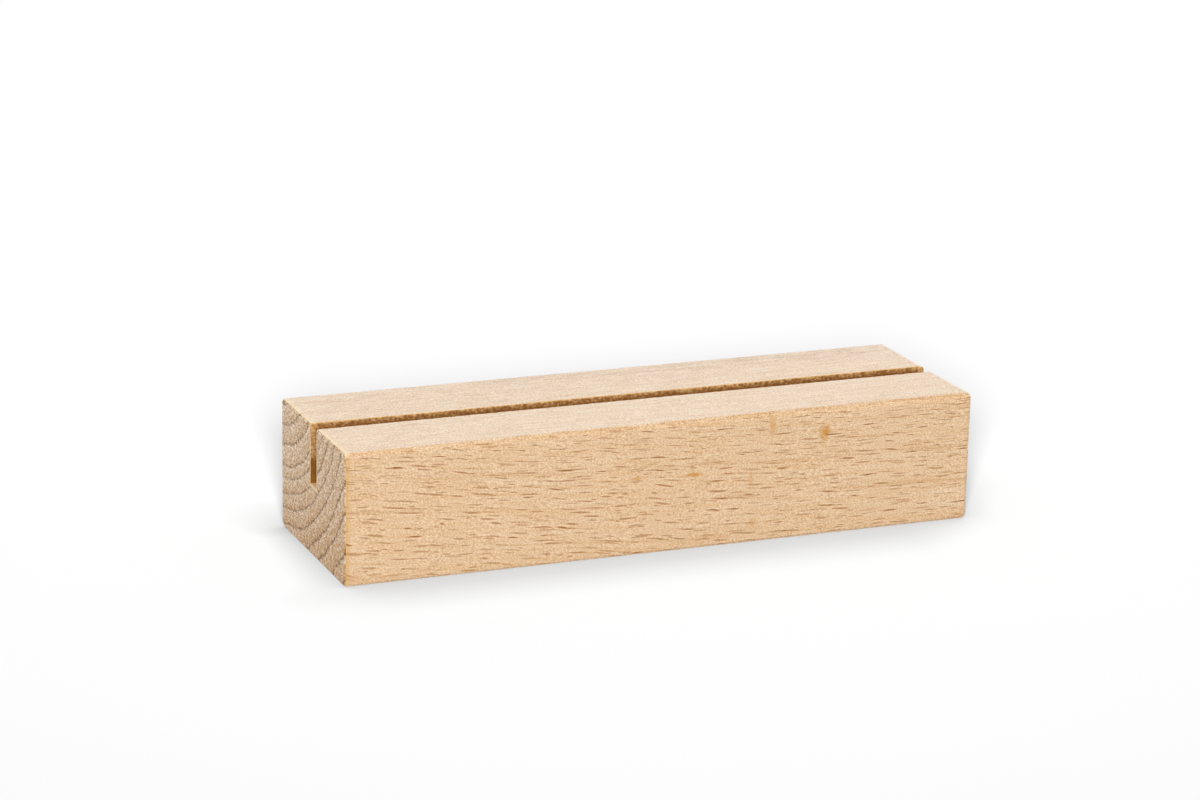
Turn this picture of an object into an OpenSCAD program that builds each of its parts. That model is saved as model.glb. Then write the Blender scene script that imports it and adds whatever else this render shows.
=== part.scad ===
// Place card holder: one block of solid beech, with a slot sawn along its top for the card.
// X runs along the block and the slot, Y from the front face to the back face, and Z up.
// The origin is the middle of the base, on the surface that the block stands on.

/* [Block] */
// Length of the block, along the grain
block_length = 100; // [60:1:200]
// Depth of the block, from the front face to the back face
block_depth = 30; // [24:0.5:60]
// Height of the block
block_height = 20; // [14:0.5:40]

/* [Arrises] */
// Radius sanded on the front arris of the top, which is handled most
front_arris_r = 0.9; // [0.3:0.1:1.5]
// Radius sanded on the other three long arrises
long_arris_r = 0.6; // [0.3:0.1:1.5]
// Radius sanded on the arrises round the two sawn ends
end_arris_r = 0.4; // [0.2:0.1:1.2]

/* [Card slot] */
// Width of the slot, which is one pass of the saw
slot_width = 2.8; // [0.8:0.1:4]
// Depth of the slot below the top face
slot_depth = 9.2; // [3:0.1:11]
// Wood between the front face and the slot
slot_setback = 13.2; // [6:0.1:16]
// Radius eased on the two edges of the slot's mouth
mouth_arris_r = 0.25; // [0.1:0.05:0.5]

/* [Hidden] */
// Sides on a whole round
$fn = 96;
// How far a cut runs past the wood
cut_over = 1;
beech = "#e2c29c";

// Takes one square corner off an outline and leaves a round of radius r. The corner is at the
// origin, the wood lies towards plus x and plus y, and the cut reaches past the wood by past.
module corner_cut(r, past) {
    difference() {
        translate([-past, -past])
            square(r + past);
        translate([r, r])
            circle(r);
    }
}

// A rectangle about the origin with a round at each corner. radii goes round from the corner
// at minus x and minus y: that corner, then plus x and minus y, both plus, minus x and plus y.
module eased_outline(size_x, size_y, radii) {
    difference() {
        square([size_x, size_y], center = true);
        translate([-size_x / 2, -size_y / 2])
            corner_cut(radii[0], cut_over);
        translate([size_x / 2, -size_y / 2])
            mirror([1, 0])
                corner_cut(radii[1], cut_over);
        translate([size_x / 2, size_y / 2])
            rotate(180)
                corner_cut(radii[2], cut_over);
        translate([-size_x / 2, size_y / 2])
            mirror([0, 1])
                corner_cut(radii[3], cut_over);
    }
}

// Stands an outline up across the block, its x along Y and its y along Z, and runs it along X.
module run_along_x(length) {
    rotate([90, 0, 90])
        linear_extrude(length, center = true)
            children();
}

// Stands an outline up along the block, its x along X and its y along Z, and runs it along Y.
module run_along_y(length) {
    rotate([90, 0, 0])
        linear_extrude(length, center = true)
            children();
}

// The planed and sanded block before it is slotted. The long arrises come from its section,
// and the arrises round the two ends from its side view and its plan.
module eased_block() {
    long_radii = [long_arris_r, long_arris_r, long_arris_r, front_arris_r];
    end_radii = [end_arris_r, end_arris_r, end_arris_r, end_arris_r];
    translate([0, 0, block_height / 2])
        intersection() {
            run_along_x(block_length)
                eased_outline(block_depth, block_height, long_radii);
            run_along_y(block_depth)
                eased_outline(block_length, block_height, end_radii);
            linear_extrude(block_height, center = true)
                eased_outline(block_length, block_depth, end_radii);
        }
}

// Section of the saw cut. Its x runs from the slot's front wall to its back wall, and its y up
// from the slot's floor. The two corners at the mouth are eased.
module slot_section() {
    square([slot_width, slot_depth + cut_over]);
    translate([0, slot_depth])
        rotate(180)
            corner_cut(mouth_arris_r, slot_width / 2);
    translate([slot_width, slot_depth])
        mirror([0, 1])
            corner_cut(mouth_arris_r, slot_width / 2);
}

// The card slot, open at both ends of the block.
module card_slot() {
    translate([0, slot_setback - block_depth / 2, block_height - slot_depth])
        run_along_x(block_length + 2 * cut_over)
            slot_section();
}

// The holder itself.
module block() {
    color(beech)
        difference() {
            eased_block();
            card_slot();
        }
}

block();
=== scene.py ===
"""Looks of the place card holder: one block of solid beech with a saw-cut slot for the card.

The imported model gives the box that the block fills. The block is modelled here again inside that
box, with arrises sanded by hand and the marks of the saw in its slot, and is dressed in beech.
Every pattern of the wood comes from one log, so rings, rays and flecks agree from face to face.
Lengths are in metres, but in the log and the finishes, and where a name ends in _mm, they are in
millimetres.
"""

import logging
import math
from collections.abc import Callable
from dataclasses import dataclass
from enum import Enum
from typing import NamedTuple

import bmesh
import bpy
from mathutils import Matrix, Vector

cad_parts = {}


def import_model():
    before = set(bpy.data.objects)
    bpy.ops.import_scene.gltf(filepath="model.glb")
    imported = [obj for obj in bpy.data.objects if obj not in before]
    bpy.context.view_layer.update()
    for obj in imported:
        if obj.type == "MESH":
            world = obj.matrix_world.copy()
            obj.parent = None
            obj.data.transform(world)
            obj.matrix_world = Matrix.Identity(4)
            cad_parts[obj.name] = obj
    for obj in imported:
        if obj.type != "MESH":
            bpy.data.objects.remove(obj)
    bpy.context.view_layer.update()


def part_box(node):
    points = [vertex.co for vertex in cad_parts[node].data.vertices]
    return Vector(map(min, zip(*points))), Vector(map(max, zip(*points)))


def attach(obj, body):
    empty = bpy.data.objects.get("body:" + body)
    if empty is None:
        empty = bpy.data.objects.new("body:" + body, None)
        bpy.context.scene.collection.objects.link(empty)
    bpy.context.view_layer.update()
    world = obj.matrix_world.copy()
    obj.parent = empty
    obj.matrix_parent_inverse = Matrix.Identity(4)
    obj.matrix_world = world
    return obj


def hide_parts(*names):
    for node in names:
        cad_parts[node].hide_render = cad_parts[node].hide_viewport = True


Tree = bpy.types.NodeTree
Node = bpy.types.Node
Socket = bpy.types.NodeSocket
Material = bpy.types.Material
Piece = bpy.types.Object
Source = Node | Socket | float | tuple[float, ...]
Sockets = dict[int | str, Source]
Triple = tuple[float, float, float]

LOG = logging.getLogger("place_card_holder")
MM = 0.001
# How near two places are when they count as one
TOUCH = 0.001 * MM

MATH = "ShaderNodeMath"
VECTOR_MATH = "ShaderNodeVectorMath"
MIX = "ShaderNodeMix"
RANGE = "ShaderNodeMapRange"
RAMP = "ShaderNodeValToRGB"
NOISE = "ShaderNodeTexNoise"
VORONOI = "ShaderNodeTexVoronoi"
COMBINE = "ShaderNodeCombineXYZ"
SEPARATE = "ShaderNodeSeparateXYZ"

# How much a change of the wood's tone shows in red, green and blue
TONE: Triple = (0.65, 1.0, 1.4)
# For a mix of two colours, and for a range that eases in and out
COLOUR = {"data_type": "RGBA"}
SMOOTH = {"interpolation_type": "SMOOTHSTEP"}


class Element(Enum):
    """What an edit selects."""

    EDGE = "EDGE"
    FACE = "FACE"


class Cut(Enum):
    """How each face of the block was cut from the log. The value is its material slot's place."""

    LONG_GRAIN = 0
    END_GRAIN = 1
    SLOT = 2


def linear(colour: str) -> tuple[float, float, float, float]:
    """Turns an sRGB hex colour into the linear one that a shader takes.

    Args:
        colour: Six hex digits after a hash sign.

    Returns:
        Red, green, blue and an alpha of 1.
    """
    shades = [int(colour[i : i + 2], 16) / 255 for i in (1, 3, 5)]
    red, green, blue = (s / 12.92 if s <= 0.04045 else ((s + 0.055) / 1.055) ** 2.4 for s in shades)
    return red, green, blue, 1.0


def grey(shade: float) -> tuple[float, float, float, float]:
    """Gives the linear colour of a grey, from 0 for black to 1 for white."""
    return shade, shade, shade, 1.0


class Slope(NamedTuple):
    """How a mask follows a value: the values where it starts and ends, and what it gives there."""

    start: float = 0.0
    end: float = 1.0
    first: float = 0.0
    last: float = 1.0

    def on(self, value: Source) -> Sockets:
        """Gives what the sockets of a range take, for the mask to follow a value."""
        span = {"Value": value, "From Min": self.start, "From Max": self.end}
        return span | {"To Min": self.first, "To Max": self.last}


def wire(tree: Tree, node: Node, sockets: Sockets) -> None:
    """Sets and links a node's inputs.

    Args:
        tree: The node tree that the node is in.
        node: The node.
        sockets: What each input takes, by its place or name: a value, a socket, or a node whose
            first live output is meant.
    """
    for key, source in sockets.items():
        if isinstance(key, int):
            target = node.inputs[key]
        else:
            target = next(s for s in node.inputs if s.name == key and s.enabled)
        if isinstance(source, Node):
            source = next(s for s in source.outputs if s.enabled)
        if isinstance(source, Socket):
            tree.links.new(source, target)
        else:
            target.default_value = source


def add(tree: Tree, kind: str, sockets: Sockets | None = None, **settings: object) -> Node:
    """Adds one shader node, sets it and links it.

    Args:
        tree: The node tree that gets the node.
        kind: The node's type.
        sockets: What each input takes, as `wire` has it.
        **settings: The node's own properties.

    Returns:
        The new node.
    """
    node = tree.nodes.new(kind)
    for name, value in settings.items():
        setattr(node, name, value)
    wire(tree, node, sockets or {})
    return node


def grains(tree: Tree, place: Source, per_mm: Triple, detail: float, roughness: float = 0.5) -> Node:
    """Adds an uneven pattern of the wood, which may be drawn out along an axis.

    Args:
        tree: The node tree of a finish.
        place: Where the surface lies, in millimetres.
        per_mm: How many of the pattern's grains go into a millimetre along each axis.
        detail: How many finer patterns are laid over it.
        roughness: How strong each of them is, as a share of the one before.

    Returns:
        The pattern, which lies round 0.5.
    """
    scaled = add(tree, VECTOR_MATH, {0: place, 1: per_mm}, operation="MULTIPLY")
    finer = {"Detail": detail, "Roughness": roughness}
    return add(tree, NOISE, {"Vector": scaled, "Scale": 1.0} | finer)


def painted(tree: Tree, colour: Source, coats: list[tuple[Source, Source]]) -> Node:
    """Lays colours over a colour, one after another.

    Args:
        tree: The node tree of a finish.
        colour: What lies under them.
        coats: Each one's mask and its colour.

    Returns:
        The colour that is seen.
    """
    for mask, coat in coats:
        colour = add(tree, MIX, {"Factor": mask, "A": colour, "B": coat}, **COLOUR)
    return colour


def swing_of(tree: Tree, noise: Node, contrast: Source, mean: float = 0.5) -> Node:
    """Centres a pattern on 0.

    Args:
        tree: The node tree of a finish.
        noise: The pattern.
        contrast: How far it swings for a change of 1 in the pattern.
        mean: What the pattern lies round.

    Returns:
        The centred pattern.
    """
    centred = add(tree, MATH, {0: noise, 1: mean}, operation="SUBTRACT")
    return add(tree, MATH, {0: centred, 1: contrast}, operation="MULTIPLY")


def toned(tree: Tree, colour: Source, swing: Node) -> Node:
    """Lightens or darkens a wood's colour, in blue more than in red.

    Args:
        tree: The node tree of a finish.
        colour: The wood's colour.
        swing: How far to go, where 0 keeps the colour and a negative number darkens it.

    Returns:
        The changed colour.
    """
    share = add(tree, COMBINE, {0: swing, 1: swing, 2: swing})
    tint = {0: share, 1: TONE, 2: (1.0, 1.0, 1.0)}
    factor = add(tree, VECTOR_MATH, tint, operation="MULTIPLY_ADD")
    return add(tree, VECTOR_MATH, {0: colour, 1: factor}, operation="MULTIPLY")


class Grain(NamedTuple):
    """Where a point of the surface lies in the block and in the log, as sockets of a tree.

    Lengths are in millimetres. `fibre` is the place with the fibres laid straight, `radius` and
    `arc` lead out from the pith and round it, and `ring` is a whole number on a ring's line.
    `facing` is 1 where the surface faces the pith or turns its back on it, `upright` is the
    normal's part along Z, and `level` is that part without its sign.
    """

    place: Node
    x: Socket
    y: Socket
    z: Socket
    fibre: Node
    radius: Socket
    arc: Node
    ring: Node
    facing: Node
    upright: Socket
    level: Node


@dataclass(frozen=True)
class Log:
    """The beech log that the block was sawn from, and where the block lay in it.

    The pith runs along the block, outside it, behind its back face and above its top.
    """

    pith_y_mm: float = 17.3
    pith_z_mm: float = 34.9
    # To the right the fibres drop by the first of these in all and go back by the second. They
    # start at the left end and level out over settle_mm
    drop_mm: float = 7.7
    sway_mm: float = 1.6
    left_end_mm: float = -50.0
    settle_mm: float = 70.0
    # Distance from the pith to the first ring in the block, and the width of each after it
    first_ring_mm: float = 12.3
    ring_widths_mm: tuple[float, ...] = (3.4, 3.2, 3.1, 3.2, 1.8, 2.3, 2.4, 2.6, 3.0, 2.7, 3.6, 3.1, 2.9)
    # How far the rings stray in waves, and how close the waves are
    waviness_mm: float = 0.9
    waves_per_mm: Triple = (0.02, 0.16, 0.16)
    # Distance from the pith at which arcs are measured, about that of the front face
    arc_radius_mm: float = 40.0

    def grain(self, tree: Tree) -> Grain:
        """Works out where the surface lies in the log.

        Args:
            tree: The node tree of a finish.

        Returns:
            The sockets that the finish's patterns read.
        """
        surface = add(tree, "ShaderNodeTexCoord").outputs
        place = add(tree, VECTOR_MATH, {0: surface["Object"], "Scale": 1 / MM}, operation="SCALE")
        x, y, z = add(tree, SEPARATE, {0: place}).outputs
        from_left = add(tree, MATH, {0: x, 1: self.left_end_mm}, operation="SUBTRACT")
        share = add(tree, MATH, {0: from_left, 1: self.settle_mm}, operation="DIVIDE")
        settled = add(tree, MATH, {0: share}, operation="TANH")
        fibre_y = add(tree, MATH, {0: settled, 1: -self.sway_mm, 2: y}, operation="MULTIPLY_ADD")
        fibre_z = add(tree, MATH, {0: settled, 1: self.drop_mm, 2: z}, operation="MULTIPLY_ADD")
        fibre = add(tree, COMBINE, {0: x, 1: fibre_y, 2: fibre_z})
        wave = grains(tree, fibre, self.waves_per_mm, detail=3.0, roughness=0.6).outputs["Color"]
        centred = add(tree, VECTOR_MATH, {0: wave, 1: (0.5, 0.5, 0.5)}, operation="SUBTRACT")
        sway = (0.0, 2 * self.waviness_mm, 2 * self.waviness_mm)
        waved = add(tree, VECTOR_MATH, {0: centred, 1: sway, 2: fibre}, operation="MULTIPLY_ADD")
        pith = (0.0, self.pith_y_mm, self.pith_z_mm)
        from_pith = add(tree, VECTOR_MATH, {0: waved, 1: pith}, operation="SUBTRACT")
        inwards = add(tree, VECTOR_MATH, {0: from_pith, 1: (0.0, -1.0, -1.0)}, operation="MULTIPLY")
        radius = add(tree, VECTOR_MATH, {0: inwards}, operation="LENGTH").outputs["Value"]
        _, ahead, below = add(tree, SEPARATE, {0: inwards}).outputs
        angle = add(tree, MATH, {0: ahead, 1: below}, operation="ARCTAN2")
        arc = add(tree, MATH, {0: angle, 1: self.arc_radius_mm}, operation="MULTIPLY")
        to_pith = add(tree, VECTOR_MATH, {0: inwards}, operation="NORMALIZE")
        both = {0: to_pith, 1: surface["Normal"]}
        turned = add(tree, VECTOR_MATH, both, operation="DOT_PRODUCT").outputs["Value"]
        facing = add(tree, MATH, {0: turned}, operation="ABSOLUTE")
        _, _, upright = add(tree, SEPARATE, {0: surface["Normal"]}).outputs
        level = add(tree, MATH, {0: upright}, operation="ABSOLUTE")
        return Grain(place, x, y, z, fibre, radius, arc, self._ring(tree, radius), facing, upright, level)

    def _ring(self, tree: Tree, radius: Socket) -> Node:
        """Counts the growth rings out from the pith, so that a whole number is a ring's line.

        Args:
            tree: The node tree of a finish.
            radius: Distance from the pith.

        Returns:
            The count.
        """
        count, span = len(self.ring_widths_mm), sum(self.ring_widths_mm)
        ends = {"From Min": self.first_ring_mm, "From Max": self.first_ring_mm + span}
        ramp = add(tree, RAMP, {"Fac": add(tree, RANGE, {"Value": radius} | ends)})
        reached = 0.0
        for number, width in enumerate(self.ring_widths_mm[:-1], start=1):
            reached += width
            ramp.color_ramp.elements.new(reached / span).color = grey(number / count)
        return add(tree, MATH, {0: ramp.outputs["Color"], 1: float(count)}, operation="MULTIPLY")

    def ring_distance(self, tree: Tree, ring: Node) -> Node:
        """Works out how far the surface is from the nearest ring's line.

        Args:
            tree: The node tree of a finish.
            ring: The count of the rings.

        Returns:
            The distance, in millimetres, for rings of mean width.
        """
        mean = sum(self.ring_widths_mm) / len(self.ring_widths_mm)
        halves = add(tree, MATH, {0: ring, 1: 0.5}, operation="PINGPONG")
        return add(tree, MATH, {0: halves, 1: mean}, operation="MULTIPLY")


@dataclass(frozen=True)
class RayFlecks:
    """The rays of beech where a face cuts them: short brown dashes along the grain.

    Each layer scatters one dash to a cell of a grid that lies along the fibres and round the
    pith, so the dashes of one ray meet at an arris. Each dash has a pale rim.
    """

    cell_length_mm: float = 5.8
    cell_height_mm: float = 1.65
    # How far a dash may stray from the middle of its cell, where 1 is anywhere
    scatter: float = 0.75
    layers: int = 5
    # How many cells each layer is shifted along the grain, and how many times as many round it
    layer_shift: float = 17.37
    round_per_along: float = 1.71
    # Half lengths of the shortest and the longest dash, half the thickness of the longest, and
    # how many times thinner the shortest is
    short_mm: float = 0.5
    long_mm: float = 2.4
    thin_mm: float = 0.16
    slimmer: float = 1.4
    # Where a dash and its rim start and are full, in half lengths along it and half thicknesses
    # across it. Along it the rim reaches this many times less far
    edge: Slope = Slope(1.05, 0.35)
    rim: Slope = Slope(2.5, 1.1, 0.0, -0.25)
    rim_squash: float = 2.0
    # How dark a dash is, by its random draw
    strength: Slope = Slope(0.1, 0.9, 0.34, 0.76)
    # The dashes run in gentle bends, as wide as this and this close
    bend_mm: float = 1.2
    bends_per_mm: Triple = (0.1, 0.06, 0.06)
    # A face that the rays lie nearly along shows them as faint ribbons, not as dark dashes
    turned: Slope = Slope(0.42, 0.7, 0.12)

    def mask(self, tree: Tree, grain: Grain) -> Node:
        """Adds the dashes.

        Args:
            tree: The node tree of a finish.
            grain: Where the surface lies in the log.

        Returns:
            A node that gives up to 1 in a dash, 0 between the dashes and less than 0 in their rims.
        """
        wander = grains(tree, grain.fibre, self.bends_per_mm, detail=1.0)
        bent = add(tree, MATH, {0: wander, 1: self.bend_mm, 2: grain.arc}, operation="MULTIPLY_ADD")
        together: Source = 0.0
        for layer in range(self.layers):
            dashes = self._layer(tree, grain, bent, layer)
            together = add(tree, MATH, {0: together, 1: dashes}, operation="ADD")
        shown = add(tree, RANGE, self.turned.on(grain.facing), **SMOOTH)
        return add(tree, MATH, {0: together, 1: shown}, operation="MULTIPLY")

    def _layer(self, tree: Tree, grain: Grain, arc: Node, layer: int) -> Node:
        """Adds one layer of dashes, shifted from the other layers.

        Args:
            tree: The node tree of a finish.
            grain: Where the surface lies in the log.
            arc: The way round the pith, in gentle bends.
            layer: The layer's number.

        Returns:
            A node that gives what `mask` does, for this layer.
        """
        length, height = self.cell_length_mm, self.cell_height_mm
        slim = height / self.thin_mm
        shift = self.layer_shift * layer
        side_shift = self.round_per_along * shift
        along = add(tree, MATH, {0: grain.x, 1: 1 / length, 2: shift}, operation="MULTIPLY_ADD")
        across = add(tree, MATH, {0: arc, 1: 1 / height, 2: side_shift}, operation="MULTIPLY_ADD")
        cell = add(tree, COMBINE, {0: along, 1: across})
        spots = {"Vector": cell, "Scale": 1.0, "Randomness": self.scatter}
        spot = add(tree, VORONOI, spots, voronoi_dimensions="2D").outputs
        offset = add(tree, VECTOR_MATH, {0: cell, 1: spot["Position"]}, operation="SUBTRACT")
        offset_along, offset_across, _ = add(tree, SEPARATE, {0: offset}).outputs
        size, draw, _ = add(tree, SEPARATE, {0: spot["Color"]}).outputs
        lengths = {"To Min": self.short_mm / length, "To Max": self.long_mm / length}
        half_length = add(tree, RANGE, {"Value": size} | lengths)
        slimness = add(tree, RANGE, {"Value": size, "To Min": slim * self.slimmer, "To Max": slim})
        ends = add(tree, MATH, {0: offset_along, 1: half_length}, operation="DIVIDE")
        sides = add(tree, MATH, {0: offset_across, 1: slimness}, operation="MULTIPLY")
        reach = add(tree, COMBINE, {0: ends, 1: sides})
        away = add(tree, VECTOR_MATH, {0: reach}, operation="LENGTH").outputs["Value"]
        dash = add(tree, RANGE, self.edge.on(away), **SMOOTH)
        squash = {0: reach, 1: (self.rim_squash, 1.0, 0.0)}
        squashed = add(tree, VECTOR_MATH, squash, operation="MULTIPLY")
        farther = add(tree, VECTOR_MATH, {0: squashed}, operation="LENGTH").outputs["Value"]
        rim = add(tree, RANGE, self.rim.on(farther), **SMOOTH)
        # The rim runs on under the dash, which makes up for it there
        both = {0: dash, 1: 1.0 - self.rim.last, 2: rim}
        profile = add(tree, MATH, both, operation="MULTIPLY_ADD")
        strength = add(tree, RANGE, self.strength.on(draw))
        return add(tree, MATH, {0: profile, 1: strength}, operation="MULTIPLY")


class Stain(NamedTuple):
    """An orange-brown mark: its middle, its half sizes, how strong it is and how it is turned."""

    middle_mm: Triple
    reach_mm: Triple
    depth: float
    turned_deg: float = 0.0


@dataclass(frozen=True)
class Board:
    """A material in the making: its tree, its shader and where its surface lies in the log."""

    material: Material
    tree: Tree
    shader: Node
    grain: Grain

    def cover(self, colour: Source, height: Source, roughness: Source) -> Material:
        """Gives the material its colour, relief and roughness.

        Args:
            colour: The wood's colour.
            height: Height of the surface, in millimetres.
            roughness: How matt the wood is.

        Returns:
            The finished material.
        """
        bump = add(self.tree, "ShaderNodeBump", {"Height": height, "Distance": MM, "Strength": 1.0})
        looks = {"Base Color": colour, "Normal": bump, "Roughness": roughness}
        wire(self.tree, self.shader, looks)
        return self.material


def bare_board(name: str, log: Log, sheen: float, specular: float = 0.5) -> Board:
    """Starts a beech material that has no colour yet.

    Args:
        name: The material's name.
        log: The log that the block was sawn from.
        sheen: How much the surface's fibres whiten it where it is seen at a low angle.
        specular: How strong its shine is, where 0.5 is what its index of refraction gives.

    Returns:
        The material with its shader joined to its output, and the log's sockets.
    """
    material = bpy.data.materials.new(name)
    material.use_nodes = True
    tree = material.node_tree
    tree.nodes.clear()
    # Wood is cellulose and lignin, whose index of refraction is about 1.53
    surface = {"IOR": 1.53, "Specular IOR Level": specular}
    fibres = {"Sheen Weight": sheen, "Sheen Roughness": 0.35, "Sheen Tint": (0.99, 1.0, 0.96, 1.0)}
    shader = add(tree, "ShaderNodeBsdfPrincipled", surface | fibres)
    add(tree, "ShaderNodeOutputMaterial", {"Surface": shader})
    return Board(material, tree, shader, log.grain(tree))


@dataclass(frozen=True)
class SandedLongGrain:
    """Beech, planed and then sanded along the grain, with no lacquer.

    It is pale and matt, with fine brown ray flecks, faint rings and a mealy speckle of pores. Painted
    shade deepens its foot and its arrises, and painted highlights run along its ends.
    """

    pale: str = "#e6c8a6"
    deep: str = "#d8ad7c"
    fleck: str = "#9c5c0e"
    # The golden and cream colours are painted highlights along the block's ends
    highlight_gold: str = "#d6a660"
    highlight_cream: str = "#f8deaa"
    stain: str = "#c98c36"
    sheen: float = 1.0
    # Dull in the pores and smoother between them
    roughness: Slope = Slope(first=0.58, last=0.42)
    # Beech's pores are under 0.1 mm wide, too fine to show, so they are drawn 0.2 to 0.3 mm wide.
    # Streaks are about 0.5 mm wide and 10 mm long
    pores_per_mm: Triple = (3.6, 5.2, 5.2)
    streaks_per_mm: Triple = (0.1, 1.5, 2.4)
    # How far the wood swings between its light and dark grains, and between deep and pale
    # streaks: first on upright faces, then on the top and the base, which were sanded less
    pore_contrast: Slope = Slope(first=1.3, last=2.0)
    streak_contrast: Slope = Slope(first=1.2, last=2.2)
    # How dark the wood is by its distance from a ring's line, and which streaks show that line
    ring_tone: Slope = Slope(0.28, 0.0, 0.0, -0.13)
    ring_streaks: Slope = Slope(0.58, 0.42)
    # How strong the flecks are, and how much paler the wood is in a full rim of theirs
    fleck_depth: float = 0.9
    rim_lift: float = 0.45
    # How deep the flecks and the pores are sunk into the surface
    fleck_dent_mm: float = 0.025
    pore_relief_mm: float = 0.035
    # Painted shade at the foot: how deep the colour of upright faces is, by the height above the base
    # in millimetres
    foot: Slope = Slope(0.2, 3.4, 0.32, 0.0)
    # Painted highlights at the ends: how strong they are, and how they go from golden to cream as faces
    # level out
    end_highlight_depth: float = 0.85
    highlight_creaming: Slope = Slope(0.15, 0.6)
    # Painted shade on the rounded arrises: how deep their colour is, by the upright part of their normal
    arris_shade: tuple[tuple[float, float], ...] = (
        (-0.98, 0.0),
        (-0.9, 0.6),
        (-0.3, 0.6),
        (-0.12, 0.4),
        (-0.02, 0.0),
        (0.15, 0.0),
        (0.4, 0.32),
        (0.85, 0.32),
        (0.98, 0.0),
    )
    flecks: RayFlecks = RayFlecks()
    stains: tuple[Stain, ...] = (
        Stain((16.6, -15.0, 17.8), (0.8, 1.5, 2.0), 0.6),
        Stain((25.4, -15.0, 16.2), (1.3, 1.5, 1.8), 1.0),
        Stain((13.3, -15.0, 10.0), (0.6, 1.5, 1.7), 0.4),
        Stain((13.8, -15.0, 3.2), (1.1, 1.5, 1.1), 0.4),
        Stain((4.2, -15.0, 11.6), (1.7, 1.5, 0.45), 0.9),
        Stain((-5.0, -15.0, 11.9), (1.4, 1.5, 0.4), 0.6),
        Stain((-46.0, 11.2, 20.0), (5.0, 0.4, 1.5), 0.6, -12.0),
        Stain((-34.2, -4.6, 20.0), (4.6, 0.35, 1.5), 0.45, -9.0),
    )
    # A stain's edge, in its half sizes, and how far it is frayed and how closely
    stain_edge: Slope = Slope(1.6, 0.7)
    stain_fray: float = 1.1
    frays_per_mm: Triple = (1.1, 1.1, 1.1)

    def material(self, log: Log, block: "SlottedBlock") -> Material:
        """Makes the finish.

        Args:
            log: The log that the block was sawn from.
            block: The block, for the places of its ends.

        Returns:
            The material.
        """
        board = bare_board("beech_sanded_along_the_grain", log, self.sheen)
        tree, grain = board.tree, board.grain
        flecks = self.flecks.mask(tree, grain)
        streaks = grains(tree, grain.fibre, self.streaks_per_mm, detail=2.0)
        pores = grains(tree, grain.fibre, self.pores_per_mm, detail=1.0, roughness=0.6)
        contrast = add(tree, RANGE, self.streak_contrast.on(grain.level))
        streaked = swing_of(tree, streaks, contrast)
        paleness = add(tree, MATH, {0: streaked, 1: 0.5}, operation="ADD")
        # Painted shade: a deeper colour at the foot of upright faces and on the arrises, by how they lean
        standing = add(tree, MATH, {0: 1.0, 1: grain.level}, operation="SUBTRACT")
        foot = add(tree, RANGE, self.foot.on(grain.z))
        low = add(tree, MATH, {0: standing, 1: foot}, operation="MULTIPLY")
        painted_shade = add(tree, MATH, {0: low, 1: self._arris_shade_mask(tree, grain)}, operation="MAXIMUM")
        deep = linear(self.deep)
        plain = painted(tree, deep, [(paleness, linear(self.pale)), (painted_shade, deep)])
        wood = toned(tree, plain, self._swing(tree, log, grain, flecks, streaks, pores))
        # Painted highlight along the ends: golden on upright faces, cream on level ones
        end = block.end_highlight_mask(tree, grain)
        end_highlight = add(tree, MATH, {0: end, 1: self.end_highlight_depth}, operation="MULTIPLY")
        highlight_creaming = add(tree, RANGE, self.highlight_creaming.on(grain.level))
        highlight_band = painted(tree, linear(self.highlight_gold), [(highlight_creaming, linear(self.highlight_cream))])
        stain = self._stain_mask(tree, grain)
        dash = add(tree, MATH, {0: flecks, 1: self.fleck_depth}, operation="MULTIPLY")
        coats = [(end_highlight, highlight_band), (stain, linear(self.stain)), (dash, linear(self.fleck))]
        dents = add(tree, MATH, {0: flecks, 1: -self.fleck_dent_mm}, operation="MULTIPLY")
        sunk = {0: pores, 1: self.pore_relief_mm, 2: dents}
        relief = add(tree, MATH, sunk, operation="MULTIPLY_ADD")
        shine = add(tree, RANGE, self.roughness.on(pores))
        return board.cover(painted(tree, wood, coats), relief, shine)

    def _swing(
        self, tree: Tree, log: Log, grain: Grain, flecks: Node, streaks: Node, pores: Node
    ) -> Node:
        """Adds how far the pores, the rims of the flecks and the rings lighten the wood.

        Args:
            tree: The node tree of a finish.
            log: The log, for its rings.
            grain: Where the surface lies in the log.
            flecks: The mask of the flecks.
            streaks: The pattern of the streaks.
            pores: The pattern of the pores.

        Returns:
            How far to go, as `toned` has it.
        """
        contrast = add(tree, RANGE, self.pore_contrast.on(grain.level))
        mealy = swing_of(tree, pores, contrast)
        rims = add(tree, MATH, {0: flecks, 1: 0.0}, operation="MINIMUM")
        rimmed = add(tree, MATH, {0: rims, 1: -self.rim_lift, 2: mealy}, operation="MULTIPLY_ADD")
        distance = log.ring_distance(tree, grain.ring)
        ring = add(tree, RANGE, self.ring_tone.on(distance), **SMOOTH)
        patchy = add(tree, RANGE, self.ring_streaks.on(streaks), **SMOOTH)
        return add(tree, MATH, {0: ring, 1: patchy, 2: rimmed}, operation="MULTIPLY_ADD")

    def _arris_shade_mask(self, tree: Tree, grain: Grain) -> Socket:
        """Adds the painted shade: how deep the colour of each place is for the way that its surface
        leans.

        Args:
            tree: The node tree of a finish.
            grain: Where the surface lies in the log.

        Returns:
            A mask of the painted shade.
        """
        share = add(tree, RANGE, {"Value": grain.upright, "From Min": -1.0})
        ramp = add(tree, RAMP, {"Fac": share})
        stops = ramp.color_ramp.elements
        stops[1].color = grey(0.0)
        for upright, depth in self.arris_shade:
            stops.new((upright + 1) / 2).color = grey(depth)
        return ramp.outputs["Color"]

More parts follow.
